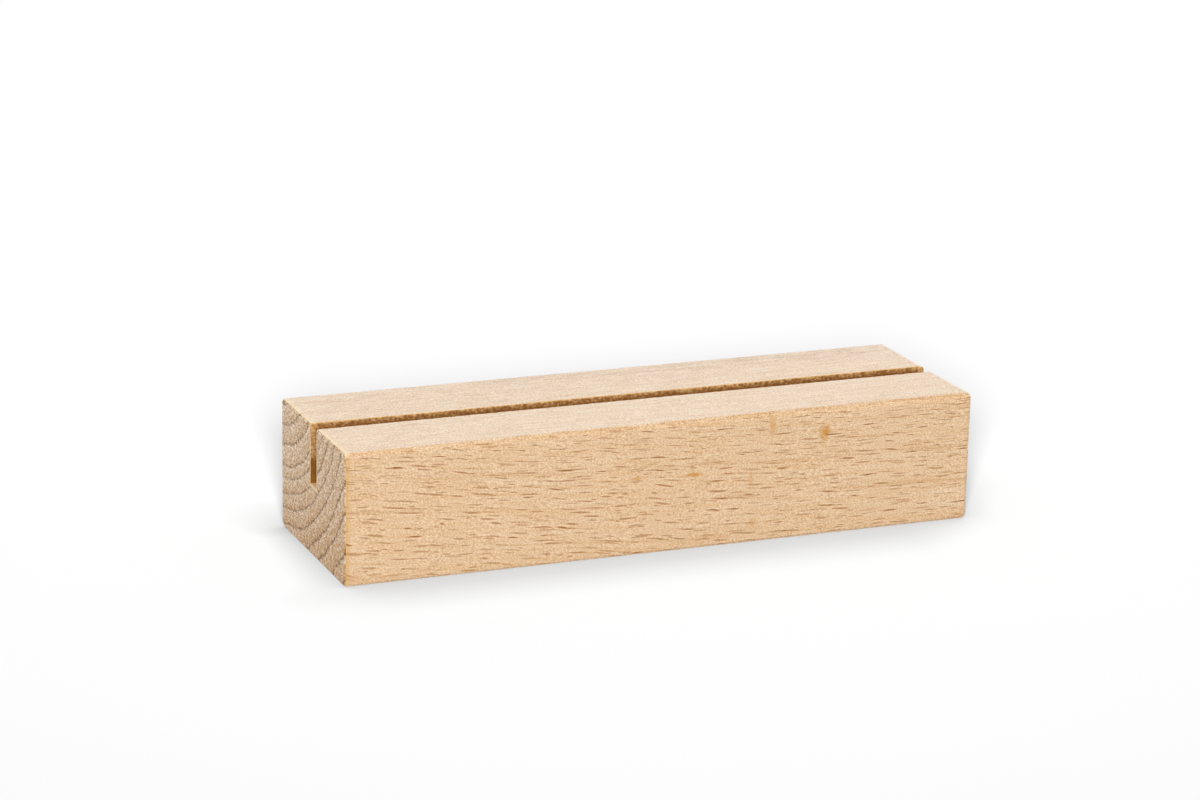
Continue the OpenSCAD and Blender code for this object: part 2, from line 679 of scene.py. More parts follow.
    def _stain_mask(self, tree: Tree, grain: Grain) -> Source:
        """Adds the orange-brown marks, with soft uneven edges.

        Args:
            tree: The node tree of a finish.
            grain: Where the surface lies in the log.

        Returns:
            A mask of the marks.
        """
        ragged = grains(tree, grain.place, self.frays_per_mm, detail=2.0)
        strongest: Source = 0.0
        for mark in self.stains:
            oval = {"Vector": grain.place, "Location": mark.middle_mm, "Scale": mark.reach_mm}
            turn = {"Rotation": (0.0, 0.0, math.radians(mark.turned_deg))}
            scaled = add(tree, "ShaderNodeMapping", oval | turn, vector_type="TEXTURE")
            away = add(tree, VECTOR_MATH, {0: scaled}, operation="LENGTH").outputs["Value"]
            fray = {0: ragged, 1: self.stain_fray, 2: away}
            frayed = add(tree, MATH, fray, operation="MULTIPLY_ADD")
            edge = self.stain_edge.on(frayed) | {"To Max": mark.depth}
            spot = add(tree, RANGE, edge, **SMOOTH)
            strongest = add(tree, MATH, {0: strongest, 1: spot}, operation="MAXIMUM")
        return strongest


@dataclass(frozen=True)
class SawnEndGrain:
    """Beech, sawn across the grain and lightly sanded.

    It is greyer and darker than the long grain, with the growth rings as thin brown arcs, pale
    rays that fan out from the pith, and a close stipple of open pores. It has painted light towards
    the back, painted shade near the base and a painted highlight round the slot.
    """

    wood: str = "#e2c9ad"
    ring_line: str = "#6a3c08"
    ray: str = "#e6c49c"
    # The rim colour is a painted highlight round the slot's outline
    rim: str = "#f6dfba"
    roughness: float = 0.6
    sheen: float = 0.08
    # The cut ends of the fibres scatter most of the shine
    specular: float = 0.2
    # The open pores are drawn coarser than beech's own too, about 0.5 mm wide and 0.25 mm high
    pores_per_mm: Triple = (3.0, 1.9, 4.2)
    # Blotches are about 1 mm across
    blotches_per_mm: Triple = (0.9, 0.9, 1.5)
    # How close the rays are round the pith, and how fast they change out from it and along it
    rays_per_mm: Triple = (2.1, 0.16, 0.3)
    # How strong a ray is, by its pattern
    ray_depth: Slope = Slope(0.56, 0.72, 0.0, 0.3)
    # The edge of a ring's line in millimetres, and how far the pores make it stray
    line_edge: Slope = Slope(0.74, 0.35)
    line_stray_mm: float = 0.7
    # How dark the line is by the blotches, and how much of that is left from the middle to the back
    line_depth: Slope = Slope(0.62, 0.4, 0.4, 0.85)
    line_fade: Slope = Slope(0.0, 12.0, 1.0, 0.78)
    # How much lighter or darker the wood is: from one ring to the next, lighter towards the back as
    # painted light, darker near the base as painted shade, and in the pits of the open pores
    season_tone: Slope = Slope(first=0.12, last=-0.12)
    painted_back_light: Slope = Slope(2.0, 12.0, 0.0, 0.06)
    painted_foot_shade: Slope = Slope(0.0, 12.0, -0.2, 0.0)
    pit_tone: Slope = Slope(0.56, 0.36, 0.0, -0.6)
    # How far it swings from blotch to blotch, and the darkest that it gets in all
    blotch_contrast: float = 1.2
    darkest: float = -0.6
    pit_relief_mm: float = 0.03
    # How strong the painted highlight round the slot is
    rim_highlight_depth: float = 0.85

    def material(self, log: Log, block: "SlottedBlock") -> Material:
        """Makes the finish.

        Args:
            log: The log that the block was sawn from.
            block: The block, for the place of its slot.

        Returns:
            The material.
        """
        board = bare_board("beech_sawn_across_the_grain", log, self.sheen, self.specular)
        tree, grain = board.tree, board.grain
        pores = grains(tree, grain.place, self.pores_per_mm, detail=1.0, roughness=0.6)
        blotches = grains(tree, grain.place, self.blotches_per_mm, detail=2.0)
        round_pith = add(tree, COMBINE, {0: grain.arc, 1: grain.radius, 2: grain.x})
        fan = grains(tree, round_pith, self.rays_per_mm, detail=1.0)
        rays = add(tree, RANGE, self.ray_depth.on(fan))
        rayed = painted(tree, linear(self.wood), [(rays, linear(self.ray))])
        wood = toned(tree, rayed, self._swing(tree, grain, pores, blotches))
        line = self._line(tree, grain, log.ring_distance(tree, grain.ring), pores, blotches)
        # A painted highlight round the slot's outline
        fuzz = block.slot_rim_highlight_mask(tree, grain)
        rim = add(tree, MATH, {0: fuzz, 1: self.rim_highlight_depth}, operation="MULTIPLY")
        colour = painted(tree, wood, [(line, linear(self.ring_line)), (rim, linear(self.rim))])
        height = add(tree, MATH, {0: pores, 1: self.pit_relief_mm}, operation="MULTIPLY")
        return board.cover(colour, height, self.roughness)

    def _line(self, tree: Tree, grain: Grain, distance: Node, pores: Node, blotches: Node) -> Node:
        """Adds how dark the brown line of the nearest ring is.

        Args:
            tree: The node tree of a finish.
            grain: Where the surface lies in the log.
            distance: How far that ring's line is.
            pores: The pattern of the pores.
            blotches: The pattern of the blotches.

        Returns:
            A mask of the line.
        """
        stray = {0: pores, 1: self.line_stray_mm, 2: distance}
        uneven = add(tree, MATH, stray, operation="MULTIPLY_ADD")
        bold = add(tree, RANGE, self.line_depth.on(blotches))
        fade = add(tree, RANGE, self.line_fade.on(grain.y))
        boldest = add(tree, MATH, {0: bold, 1: fade}, operation="MULTIPLY")
        edge = self.line_edge.on(uneven) | {"To Max": boldest}
        return add(tree, RANGE, edge, **SMOOTH)

    def _swing(self, tree: Tree, grain: Grain, pores: Node, blotches: Node) -> Node:
        """Adds how far the wood is lighter or darker than its mean.

        Args:
            tree: The node tree of a finish.
            grain: Where the surface lies in the log.
            pores: The pattern of the pores.
            blotches: The pattern of the blotches.

        Returns:
            How far to go, as `toned` has it.
        """
        year = add(tree, MATH, {0: grain.ring}, operation="FRACT")
        swing = add(tree, RANGE, self.pit_tone.on(pores), **SMOOTH)
        # Painted light towards the back and painted shade near the base are among these
        for part in (
            add(tree, RANGE, self.season_tone.on(year)),
            add(tree, RANGE, self.painted_back_light.on(grain.y)),
            add(tree, RANGE, self.painted_foot_shade.on(grain.z)),
            swing_of(tree, blotches, self.blotch_contrast),
        ):
            swing = add(tree, MATH, {0: swing, 1: part}, operation="ADD")
        return add(tree, MATH, {0: swing, 1: self.darkest}, operation="MAXIMUM")


@dataclass(frozen=True)
class SawnSlot:
    """Beech, cut along the grain by a circular saw and left from the saw.

    The teeth leave close upright marks and a fine fuzz, a little scorched, so it is deeper and more
    orange than the sanded faces. Painted shade deepens it down from the mouth, painted light makes it
    paler near the ends, and its lower half is darker.
    """

    wood: str = "#eabb7c"
    scorched_and_shaded: str = "#9c682e"
    darker_lower: str = "#986010"
    # Painted highlight on the lips of the mouth, and a paler colour on the floor
    lip_highlight: str = "#ecc582"
    floor: str = "#e6c295"
    roughness: float = 0.9
    sheen: float = 0.0
    # The teeth left a mark every 0.45 mm, under a fuzz. The marks are both, in these shares
    teeth_per_mm: Triple = (1 / 0.45, 0.5, 1.0)
    fuzz_per_mm: Triple = (2.2, 3.5, 3.0)
    teeth_share: float = 0.5
    fuzz_share: float = 1.5
    mark_relief_mm: float = 0.03
    # What the marks lie round, and how far they lighten and darken the wood
    mean_mark: float = 1.0
    mark_contrast: float = 0.8
    # How strong the scorch is by the marks, and the painted shade added to it with the depth below
    # the mouth
    scorch: Slope = Slope(1.3, 0.7, 0.15, 0.85)
    shade_by_depth: Slope = Slope(0.0, 0.9, 0.0, 0.6)
    # How much of it is left by the distance from the block's ends: painted light, which leaves the
    # wall paler near the open ends
    left: Slope = Slope(0.8, 1.2, 0.5)
    # The lower half of the cut is darker, by its height and by how far the marks fray that
    darker_below: Slope = Slope(16.0, 15.2)
    darker_fray_mm: float = 0.8
    # How the painted highlight on the lips shows by the depth below the mouth, and the floor by the
    # height above it
    lip_highlight_edge: Slope = Slope(0.13, 0.04)
    floor_edge: Slope = Slope(0.08, 0.02)

    def material(self, log: Log, block: "SlottedBlock") -> Material:
        """Makes the finish.

        Args:
            log: The log that the block was sawn from.
            block: The block, for the places of its ends, its mouth and the slot's floor.

        Returns:
            The material.
        """
        board = bare_board("beech_cut_by_the_saw", log, self.sheen)
        tree, grain = board.tree, board.grain
        teeth = grains(tree, grain.place, self.teeth_per_mm, detail=2.0)
        fuzz = grains(tree, grain.place, self.fuzz_per_mm, detail=2.0)
        by_teeth = add(tree, MATH, {0: teeth, 1: self.teeth_share}, operation="MULTIPLY")
        marks = add(tree, MATH, {0: fuzz, 1: self.fuzz_share, 2: by_teeth}, operation="MULTIPLY_ADD")
        depth = add(tree, MATH, {0: block.high.z / MM, 1: grain.z}, operation="SUBTRACT")
        # Scorch by the marks, with painted shade down from the mouth and painted light near the ends
        scorch = self._scorch_and_shade(tree, grain, marks, depth, block.high.x / MM)
        # Darker in the lower half of the cut
        fray = {0: marks, 1: self.darker_fray_mm, 2: grain.z}
        frayed = add(tree, MATH, fray, operation="MULTIPLY_ADD")
        low = add(tree, RANGE, self.darker_below.on(frayed))
        darkenings = [(scorch, linear(self.scorched_and_shaded)), (low, linear(self.darker_lower))]
        swing = swing_of(tree, marks, self.mark_contrast, self.mean_mark)
        mottled = toned(tree, painted(tree, linear(self.wood), darkenings), swing)
        # Painted highlight on the lips, and a paler floor
        at_lip = add(tree, RANGE, self.lip_highlight_edge.on(depth))
        height = add(tree, MATH, {0: grain.z, 1: block.slot_floor / MM}, operation="SUBTRACT")
        on_floor = add(tree, RANGE, self.floor_edge.on(height))
        lip_and_floor = [(at_lip, linear(self.lip_highlight)), (on_floor, linear(self.floor))]
        relief = add(tree, MATH, {0: marks, 1: self.mark_relief_mm}, operation="MULTIPLY")
        return board.cover(painted(tree, mottled, lip_and_floor), relief, self.roughness)

    def _scorch_and_shade(self, tree: Tree, grain: Grain, marks: Node, depth: Node, end_mm: float) -> Node:
        """Adds the scorch, with painted shade down from the mouth and painted light at the ends.

        Args:
            tree: The node tree of a finish.
            grain: Where the surface lies in the log.
            marks: The pattern of the marks.
            depth: Depth below the mouth.
            end_mm: Place of the block's right end along X.

        Returns:
            A mask of the scorch, the painted shade and the painted light.
        """
        by_marks = add(tree, RANGE, self.scorch.on(marks))
        depth_shade = add(tree, RANGE, self.shade_by_depth.on(depth))
        both = add(tree, MATH, {0: by_marks, 1: depth_shade}, operation="ADD")
        from_middle = add(tree, MATH, {0: grain.x}, operation="ABSOLUTE")
        from_end = add(tree, MATH, {0: end_mm, 1: from_middle}, operation="SUBTRACT")
        left = add(tree, RANGE, self.left.on(from_end))
        return add(tree, MATH, {0: both, 1: left}, operation="MULTIPLY")


def deselect_all() -> None:
    """Leaves nothing selected, in object mode."""
    if bpy.context.object is not None and bpy.context.object.mode != "OBJECT":
        bpy.ops.object.mode_set(mode="OBJECT")
    bpy.ops.object.select_all(action="DESELECT")


def pick(piece: Piece, element: Element, test: Callable[[list[Vector]], bool]) -> None:
    """Selects, in edit mode, the edges or faces that pass a test, and nothing else.

    Args:
        piece: The object in edit mode.
        element: Whether edges or faces are picked.
        test: Takes an element's corners and says whether it is picked.
    """
    bpy.ops.mesh.select_mode(type=element.value)
    bpy.ops.mesh.select_all(action="DESELECT")
    shape = bmesh.from_edit_mesh(piece.data)
    for part in shape.edges if element is Element.EDGE else shape.faces:
        part.select_set(test([corner.co for corner in part.verts]))
    bmesh.update_edit_mesh(piece.data)


def apply_modifier(piece: Piece, kind: str, **settings: object) -> None:
    """Adds a modifier to the active piece, sets it and applies it.

    Args:
        piece: The active object.
        kind: The modifier's type.
        **settings: The modifier's own properties.
    """
    modifier = piece.modifiers.new(kind.lower(), kind)
    for name, value in settings.items():
        setattr(modifier, name, value)
    bpy.ops.object.modifier_apply(modifier=modifier.name)


@dataclass
class SlottedBlock:
    """The block of the holder, with its slot, its arrises and the marks that tools left on it."""

    low: Vector
    high: Vector
    slot_width: float = 2.8 * MM
    slot_depth: float = 9.2 * MM
    slot_setback: float = 13.2 * MM
    # The front arris of the top was sanded harder towards the right end
    front_arris_left: float = 0.6 * MM
    front_arris_right: float = 1.15 * MM
    long_arris: float = 0.6 * MM
    left_end_arris: float = 0.4 * MM
    right_end_arris: float = 0.75 * MM
    mouth_arris: float = 0.25 * MM
    slot_end_arris: float = 0.12 * MM
    # How finely the mesh is divided: round an arris, along the block and down the slot's walls.
    # Faces that turn by less than the last of these are shaded as one
    arris_segments: int = 5
    bays: int = 20
    stations_per_bay: int = 18
    slot_rows: int = 4
    smooth_below_deg: float = 35.0
    # Widths of two painted highlights, the golden band at the block's ends and the pale rim round the
    # slot's ends, and how strong the band is at the right end, where it is 1 at the left
    end_highlight_width: float = 1.1 * MM
    rim_highlight_width: float = 0.55 * MM
    right_highlight_strength: float = 0.3
    # How far the knock at the left end's back corner reaches along X, Y and Z
    knock: Triple = (1.6 * MM, 1.9 * MM, 1.2 * MM)
    # Depths of the marks, each cut into the wood and never proud of it, and how wide they are
    # along X, Y and Z
    arris_wear: float = 0.05 * MM
    mouth_wear: float = 0.12 * MM
    saw_mark: float = 0.06 * MM
    arris_grit: Triple = (4 * MM, 1.5 * MM, 1.5 * MM)
    mouth_grit: Triple = (1.1 * MM, 2 * MM, 2 * MM)
    saw_grit: Triple = (0.6 * MM, 2 * MM, 5 * MM)
    # The mouth reaches down by this many of its arris's radii
    mouth_radii: float = 1.5
    # A face is end grain where its normal's part along X is over this
    end_grain_above: float = 0.7

    @property
    def slot_front(self) -> float:
        """Place of the slot's front wall."""
        return self.low.y + self.slot_setback

    @property
    def slot_back(self) -> float:
        """Place of the slot's back wall."""
        return self.slot_front + self.slot_width

    @property
    def slot_floor(self) -> float:
        """Height of the slot's floor."""
        return self.high.z - self.slot_depth

    def make(self) -> Piece:
        """Models the block.

        Returns:
            The block, in place, with no material.
        """
        deselect_all()
        size = self.high - self.low
        bpy.ops.mesh.primitive_cube_add(size=1, location=(self.low + self.high) / 2, scale=size)
        bpy.ops.object.transform_apply(location=True, rotation=True, scale=True)
        piece = bpy.context.object
        piece.name = piece.data.name = "beech_block"
        self._saw_slot(piece)
        self._ease_arrises(piece)
        self._knock_corner(piece)
        self._wear(piece)
        bpy.ops.object.mode_set(mode="EDIT")
        bpy.ops.mesh.select_all(action="SELECT")
        bpy.ops.mesh.normals_make_consistent(inside=False)
        bpy.ops.object.mode_set(mode="OBJECT")
        bpy.ops.object.shade_smooth_by_angle(angle=math.radians(self.smooth_below_deg))
        apply_modifier(piece, "WEIGHTED_NORMAL", mode="FACE_AREA", keep_sharp=True)
        return piece

    def _saw_slot(self, piece: Piece) -> None:
        """Cuts the slot along the block, and marks out the bays and rows of the mesh.

        Args:
            piece: The block.
        """
        rows = [self.slot_floor + self.slot_depth * row / self.slot_rows for row in range(self.slot_rows)]
        cuts = [((0, wall, 0), (0, 1, 0)) for wall in (self.slot_front, self.slot_back)]
        cuts += [((0, 0, height), (0, 0, 1)) for height in rows]
        bpy.ops.object.mode_set(mode="EDIT")
        for place, normal in cuts:
            bpy.ops.mesh.select_all(action="SELECT")
            bpy.ops.mesh.bisect(plane_co=place, plane_no=normal)
        pick(piece, Element.FACE, self._is_waste)
        bpy.ops.mesh.delete(type="FACE")
        pick(piece, Element.EDGE, self._is_slot_outline)
        bpy.ops.mesh.bridge_edge_loops()
        pick(piece, Element.EDGE, lambda ends: abs(ends[0].x - ends[1].x) > TOUCH)
        bpy.ops.mesh.subdivide(number_cuts=self.bays - 1)
        bpy.ops.object.mode_set(mode="OBJECT")

    def _is_waste(self, corners: list[Vector]) -> bool:
        """Whether a face of the uncut block lies where the slot is sawn.

        Args:
            corners: The face's corners.

        Returns:
            True where it does.
        """
        middle = sum(corners, Vector()) / len(corners)
        within = self.slot_front < middle.y < self.slot_back
        return within and middle.z > self.slot_floor + TOUCH

    def _is_slot_outline(self, ends: list[Vector]) -> bool:
        """Whether an edge is part of the slot's outline on either end face.

        Args:
            ends: The edge's ends.

        Returns:
            True where it is.
        """
        at_end = all(abs(abs(p.x) - self.high.x) < TOUCH for p in ends)
        inside = all(self.slot_front - TOUCH < p.y < self.slot_back + TOUCH for p in ends)
        above = all(p.z > self.slot_floor - TOUCH for p in ends)
        on_wall = abs(ends[0].y - ends[1].y) < TOUCH
        on_floor = all(abs(p.z - self.slot_floor) < TOUCH for p in ends)
        one_end = abs(ends[0].x - ends[1].x) < TOUCH
        return one_end and at_end and inside and above and (on_wall or on_floor)

    def _sides(self, point: Vector) -> set[str]:
        """Names the faces of the block that a point lies on.

        Args:
            point: The point.

        Returns:
            The names, where the slot's walls count as one face.
        """
        places = {
            "left": point.x - self.low.x,
            "right": point.x - self.high.x,
            "front": point.y - self.low.y,
            "back": point.y - self.high.y,
            "bottom": point.z - self.low.z,
            "top": point.z - self.high.z,
        }
        if point.z > self.slot_floor - TOUCH:
            places["slot"] = min(abs(point.y - self.slot_front), abs(point.y - self.slot_back))
        return {side for side, gap in places.items() if abs(gap) < TOUCH}

    def _arris_radius(self, start: Vector, end: Vector) -> float:
        """Gives the radius that was sanded on an edge of the block, or 0 on a flat face.

        Args:
            start: One end of the edge.
            end: Its other end.

        Returns:
            The radius.
        """
        shared = self._sides(start) & self._sides(end)
        share = ((start.x + end.x) / 2 - self.low.x) / (self.high.x - self.low.x)
        front = self.front_arris_left + (self.front_arris_right - self.front_arris_left) * share
        at_end = shared & {"left", "right"}
        end_arris = self.right_end_arris if "right" in shared else self.left_end_arris
        if {"front", "top"} <= shared:
            return front
        if {"slot", "top"} <= shared:
            return self.mouth_arris
        if "slot" in shared:
            return self.slot_end_arris if at_end else 0.0
        if len(shared) == 2:
            return end_arris if at_end else self.long_arris
        return 0.0

    def _ease_arrises(self, piece: Piece) -> None:
        """Rounds every outer edge, then divides the bays so that the marks can be cut.

        Args:
            piece: The block.
        """
        mesh = piece.data
        weights = mesh.attributes.new("bevel_weight_edge", "FLOAT", "EDGE")
        for edge in mesh.edges:
            start, end = (mesh.vertices[v].co for v in edge.vertices)
            weights.data[edge.index].value = self._arris_radius(start, end) / self.front_arris_right
        apply_modifier(
            piece,
            "BEVEL",
            width=self.front_arris_right,
            segments=self.arris_segments,
            limit_method="WEIGHT",
            use_clamp_overlap=False,
        )
        bay = (self.high.x - self.low.x) / self.bays
        bpy.ops.object.mode_set(mode="EDIT")
        pick(piece, Element.EDGE, lambda ends: abs(ends[0].x - ends[1].x) > bay / 2)
        bpy.ops.mesh.subdivide(number_cuts=self.stations_per_bay - 1)
        bpy.ops.object.mode_set(mode="OBJECT")

    def _knock_corner(self, piece: Piece) -> None:
        """Flattens the foot of the left end's back corner, where the block was knocked.

        Args:
            piece: The block.
        """
        across, back, up = self.knock
        corner = Vector((self.low.x, self.high.y, self.low.z))
        bpy.ops.object.mode_set(mode="EDIT")
        bpy.ops.mesh.select_all(action="SELECT")
        bpy.ops.mesh.bisect(
            plane_co=corner + Vector((across, 0, 0)),
            plane_no=(-1 / across, 1 / back, -1 / up),
            use_fill=True,
            clear_outer=True,
        )
        bpy.ops.object.mode_set(mode="OBJECT")

    def _wear(self, piece: Piece) -> None:
        """Cuts the marks: uneven sanding on the arrises, chips at the mouth, teeth in the slot.

        Args:
            piece: The block.
        """
        self._mark(piece, "arris", self._on_arris, self.arris_grit, self.arris_wear)
        self._mark(piece, "mouth", self._on_mouth, self.mouth_grit, self.mouth_wear)
        self._mark(piece, "wall", self._on_wall, self.saw_grit, self.saw_mark)

    def _mark(
        self,
        piece: Piece,
        name: str,
        touched: Callable[[Vector], bool],
        grit: Triple,
        depth: float,
    ) -> None:
        """Wears part of the surface down by an uneven amount.

        Args:
            piece: The block.
            name: What the mark is called.
            touched: Says whether the tool reached a point.
            grit: How wide the marks are along X, Y and Z.
            depth: The deepest mark.
        """
        group = piece.vertex_groups.new(name=name)
        group.add([v.index for v in piece.data.vertices if touched(v.co)], 1.0, "REPLACE")
        pattern = bpy.data.textures.new(name, "CLOUDS")
        pattern.noise_scale = 1.0
        bpy.ops.object.empty_add(location=(0, 0, 0))
        scale = bpy.context.object
        scale.scale = grit
        deselect_all()
        bpy.context.view_layer.objects.active = piece
        piece.select_set(True)
        bpy.context.view_layer.update()
        apply_modifier(
            piece,
            "DISPLACE",
            texture=pattern,
            texture_coords="OBJECT",
            texture_coords_object=scale,
            vertex_group=name,
            direction="NORMAL",
            mid_level=1.0,
            strength=depth,
        )
        bpy.data.objects.remove(scale)
        bpy.data.textures.remove(pattern)
        piece.vertex_groups.clear()

    def _nearness(self, point: Vector) -> list[float]:
        """Gives how far a point is in from the planes of the box, the nearest first."""
        return sorted(
            min(p - lowest, highest - p) for p, lowest, highest in zip(point, self.low, self.high)
        )

    def _in_slot(self, point: Vector) -> bool:
        """Whether a point is on the slot's walls, floor or mouth.

        Args:
            point: The point.

        Returns:
            True where it is.
        """
        reach = self.mouth_arris + TOUCH
        across = self.slot_front - reach < point.y < self.slot_back + reach
        return across and point.z > self.slot_floor - self.saw_mark - TOUCH

    def _on_arris(self, point: Vector) -> bool:
        """Whether sanding rounded the surface at a point."""
        return self._nearness(point)[1] < self.left_end_arris and not self._in_slot(point)

    def _on_mouth(self, point: Vector) -> bool:
        """Whether a point is on the eased edges of the slot's mouth."""
        return self._in_slot(point) and point.z > self.high.z - self.mouth_radii * self.mouth_arris

    def _on_wall(self, point: Vector) -> bool:
        """Whether a point is on a wall or the floor of the slot, below its mouth."""
        return self._in_slot(point) and not self._on_mouth(point)

    def cut_of(self, middle: Vector, normal: Vector) -> Cut:
        """Says how a face was cut from the log.

        Args:
            middle: The middle of the face.
            normal: The face's normal.

        Returns:
            The cut.
        """
        if abs(normal.x) > self.end_grain_above:
            return Cut.END_GRAIN
        return Cut.SLOT if self._in_slot(middle) else Cut.LONG_GRAIN

    def end_highlight_mask(self, tree: Tree, grain: Grain) -> Node:
        """Adds the mask of the painted highlight at the block's ends: 1 there, fading out in from them.

        Args:
            tree: The node tree of a finish.
            grain: Where the surface lies.

        Returns:
            The mask's node.
        """
        end = self.high.x / MM
        start = end - self.end_highlight_width / MM
        left, right = (
            add(tree, RANGE, highlight_band.on(grain.x), **SMOOTH)
            for highlight_band in (Slope(-start, -end), Slope(start, end, 0.0, self.right_highlight_strength))
        )
        return add(tree, MATH, {0: left, 1: right}, operation="ADD")

    def slot_rim_highlight_mask(self, tree: Tree, grain: Grain) -> Node:
        """Adds a mask that is 1 round the slot's outline, for a painted highlight on the saw's fuzz.

        Args:
            tree: The node tree of a finish.
            grain: Where the surface lies.

        Returns:
            The mask's node.
        """
        behind = add(tree, MATH, {0: grain.y, 1: self.slot_back / MM}, operation="SUBTRACT")
        ahead = add(tree, MATH, {0: self.slot_front / MM, 1: grain.y}, operation="SUBTRACT")
        below = add(tree, MATH, {0: self.slot_floor / MM, 1: grain.z}, operation="SUBTRACT")
        beside = add(tree, MATH, {0: behind, 1: ahead}, operation="MAXIMUM")
        gap = add(tree, MATH, {0: beside, 1: below}, operation="MAXIMUM")
        fuzz = Slope(self.rim_highlight_width / MM, 0.0)
        return add(tree, RANGE, fuzz.on(gap), **SMOOTH)

    def dress(self, piece: Piece, log: Log) -> None:
        """Gives each face of the block the finish of its cut.

        Args:
            piece: The modelled block.
            log: The log that it was sawn from.
        """
        finishes = {
            Cut.LONG_GRAIN: SandedLongGrain().material(log, self),
            Cut.END_GRAIN: SawnEndGrain().material(log, self),
            Cut.SLOT: SawnSlot().material(log, self),
        }
        for cut in Cut:
            piece.data.materials.append(finishes[cut])
        for face in piece.data.polygons:
            face.material_index = self.cut_of(face.center, face.normal).value


@dataclass(frozen=True)
class PhotoCamera:
    """The camera where the photograph was taken from."""

    # In degrees: from the front round to the right, up from level, and about the line of sight
    azimuth: float = -22.623
    elevation: float = 16.269
    roll: float = 1.268
    distance: float = 0.525
    target: Triple = (-0.00495, 0.0, 0.01973)
    lens_mm: float = 105.26
    sensor_mm: float = 36.0
    # The nearest that it sees
    clip_start: float = 0.01

    @property
    def back(self) -> Vector:
        """Direction from the target to the camera.

        Returns:
            A vector of length 1.
        """
        azimuth, elevation = math.radians(self.azimuth), math.radians(self.elevation)
        flat = math.cos(elevation)
        return Vector((math.sin(azimuth) * flat, -math.cos(azimuth) * flat, math.sin(elevation)))

    @property
    def right(self) -> Vector:
        """Direction to the right of the level picture."""
        return (-self.back).cross(Vector((0, 0, 1))).normalized()

    @property
    def up(self) -> Vector:
        """Direction to the top of the level picture."""
        return self.back.cross(self.right)

    def away(self, distance: float) -> Vector:
        """Gives the place at a distance from the target, on the line to the camera."""
        return Vector(self.target) + self.back * distance

    def place(self) -> None:
        """Adds the camera and makes it the scene's own."""
        turn = Matrix((self.right, self.up, self.back)).transposed().to_4x4()
        turn = turn @ Matrix.Rotation(math.radians(self.roll), 4, "Z")
        deselect_all()
        bpy.ops.object.camera_add()
        camera = bpy.context.object
        camera.name = "camera"
        camera.matrix_world = Matrix.Translation(self.away(self.distance)) @ turn
        camera.data.lens = self.lens_mm
        camera.data.sensor_width = self.sensor_mm
        camera.data.sensor_fit = "HORIZONTAL"
        camera.data.clip_start = self.clip_start
        bpy.context.scene.camera = camera


class FootShadow(NamedTuple):
    """A place along Y, and how wide and how dark the shadow at the object's foot is there."""

    across: float
    reach: float
    depth: float


